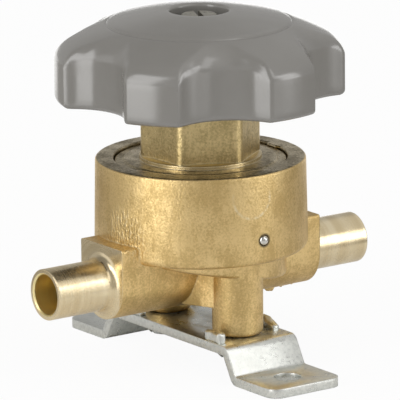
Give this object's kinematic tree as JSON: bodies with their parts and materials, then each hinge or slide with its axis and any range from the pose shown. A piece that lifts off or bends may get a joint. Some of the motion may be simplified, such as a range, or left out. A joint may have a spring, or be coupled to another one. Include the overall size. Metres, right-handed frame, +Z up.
{
  "type": "diaphragm shut-off valve",
  "caption": "Hand-operated diaphragm shut-off valve for a refrigeration line, with solder ports, a lobed handwheel and a bent mounting bracket.",
  "frame": {"origin": "on the valve axis, in the plane that the feet of the bracket stand on, which is the centre of the bottom of the bounding box", "axes": "+Z up along the valve axis towards the handwheel, +X along the port line towards the outlet side, +Y along the bracket"},
  "size_m": [0.0902, 0.0844, 0.0844],
  "materials": {
    "body_brass": "forged and blasted, ends turned",
    "turned_brass": "machined",
    "spring_steel": "bright",
    "zinc_steel": "bright zinc plated",
    "wheel_plastic": "semi-gloss moulded, grey",
    "rubber": "matt black",
    "seat_plastic": "white"
  },
  "bodies": {
    "valve": {"valve_body": "body_brass", "ball_plug": "spring_steel", "body_gasket": "seat_plastic", "diaphragm_lower": "spring_steel", "diaphragm_middle": "spring_steel", "diaphragm_upper": "spring_steel", "clamp_ring": "zinc_steel", "bonnet": "turned_brass", "dust_seal": "rubber", "cone_guide": "turned_brass", "return_spring": "spring_steel", "mounting_bracket": "zinc_steel", "bracket_screws": "zinc_steel", "bracket_washers": "zinc_steel"},
    "pad": {"thrust_pad": "turned_brass"},
    "wheel": {"spindle": "turned_brass", "handwheel": "wheel_plastic", "handwheel_screw": "zinc_steel", "handwheel_washer": "zinc_steel"},
    "cone": {"valve_cone": "turned_brass", "seat_disc": "seat_plastic", "disc_screw": "turned_brass"}
  },
  "joints": [
    {"name": "pad_lift", "type": "slide", "parent": "valve", "child": "pad", "axis": [0, 0, 1], "range_m": [0, 0.003]},
    {"name": "handwheel_turn", "type": "hinge", "parent": "pad", "child": "wheel", "pos_m": [0, 0, 0.06], "axis": [0, 0, 1], "range_deg": [0, 720]},
    {"name": "cone_lift", "type": "slide", "parent": "valve", "child": "cone", "axis": [0, 0, 1], "range_m": [0, 0.003], "deforming": ["return_spring", "diaphragm_lower", "diaphragm_middle", "diaphragm_upper"]}
  ],
  "couplings": [
    {"joint": "pad_lift", "follows": "handwheel_turn", "m_per_rad": 0.0002387},
    {"joint": "cone_lift", "follows": "handwheel_turn", "m_per_rad": 0.0002387}
  ]
}
